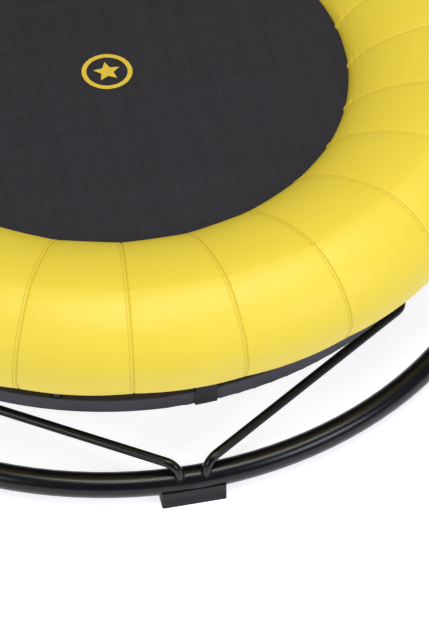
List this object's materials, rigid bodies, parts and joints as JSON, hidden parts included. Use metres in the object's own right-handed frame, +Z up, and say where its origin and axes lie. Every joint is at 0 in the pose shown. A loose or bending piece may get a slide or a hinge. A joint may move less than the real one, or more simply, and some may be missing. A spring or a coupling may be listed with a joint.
{
  "type": "padded mat carousel",
  "caption": "Spinning playground carousel: a stretched round mat inside a fat padded ring, turning on a sprung-mat spider over a tube ring with rubber feet.",
  "frame": {"origin": "on the floor under the spindle, at the centre of the floor ring", "axes": "+Z up along the spindle; -Y towards the front foot"},
  "size_m": [1.639, 1.639, 0.447],
  "materials": {
    "frame_paint": "glossy black powder coat",
    "hoop_paint": "satin dark grey powder coat",
    "foot_rubber": "satin moulded rubber",
    "zinc_steel": "bright zinc plate",
    "bearing_steel": "ground",
    "mat_fabric": "fine woven matte",
    "webbing": "woven webbing",
    "emblem_print": "yellow screen print",
    "pad_vinyl": "satin vinyl",
    "pad_foam": "open-cell foam"
  },
  "bodies": {
    "base": {"base_ring": "frame_paint", "strut_1": "frame_paint", "strut_2": "frame_paint", "strut_3": "frame_paint", "strut_4": "frame_paint", "strut_5": "frame_paint", "strut_6": "frame_paint", "strut_7": "frame_paint", "strut_8": "frame_paint", "foot_front": "foot_rubber", "foot_right": "foot_rubber", "foot_back": "foot_rubber", "foot_left": "foot_rubber", "foot_screws": "zinc_steel", "hub_base": "frame_paint", "spindle": "bearing_steel", "spindle_washer": "zinc_steel", "spindle_nut": "zinc_steel", "inner_spacer": "bearing_steel", "lower_inner_race": "bearing_steel", "upper_inner_race": "bearing_steel"},
    "lower_cage": {"lower_ball_cage": "bearing_steel"},
    "upper_cage": {"upper_ball_cage": "bearing_steel"},
    "rotor": {"hub_housing": "frame_paint", "lower_outer_race": "bearing_steel", "upper_outer_race": "bearing_steel", "outer_spacer": "bearing_steel", "retaining_clip": "bearing_steel", "hub_cap": "frame_paint", "cap_screws": "zinc_steel", "arm_1": "frame_paint", "arm_2": "frame_paint", "arm_3": "frame_paint", "arm_4": "frame_paint", "arm_5": "frame_paint", "arm_6": "frame_paint", "arm_7": "frame_paint", "arm_8": "frame_paint", "posts": "frame_paint", "hoop": "hoop_paint", "mat_ring": "frame_paint", "spring_eyes": "frame_paint", "springs": "zinc_steel", "wire_rings": "zinc_steel", "ring_tabs": "webbing", "mat": "mat_fabric", "mat_border": "webbing", "emblem": "emblem_print", "pad_cover": "pad_vinyl", "pad_foam": "pad_foam", "strap_1": "webbing", "strap_2": "webbing", "strap_3": "webbing", "strap_4": "webbing", "strap_5": "webbing", "strap_6": "webbing", "strap_7": "webbing", "strap_8": "webbing"}
  },
  "joints": [
    {"name": "rotor_spin", "type": "hinge", "parent": "base", "child": "rotor", "pos_m": [0, 0, 0.087], "axis": [0, 0, 1], "continuous": true},
    {"name": "lower_cage_spin", "type": "hinge", "parent": "base", "child": "lower_cage", "pos_m": [0, 0, 0.0705], "axis": [0, 0, 1], "continuous": true},
    {"name": "upper_cage_spin", "type": "hinge", "parent": "base", "child": "upper_cage", "pos_m": [0, 0, 0.1035], "axis": [0, 0, 1], "continuous": true}
  ],
  "couplings": [
    {"joint": "lower_cage_spin", "follows": "rotor_spin", "ratio": 0.5835},
    {"joint": "upper_cage_spin", "follows": "rotor_spin", "ratio": 0.5835}
  ]
}
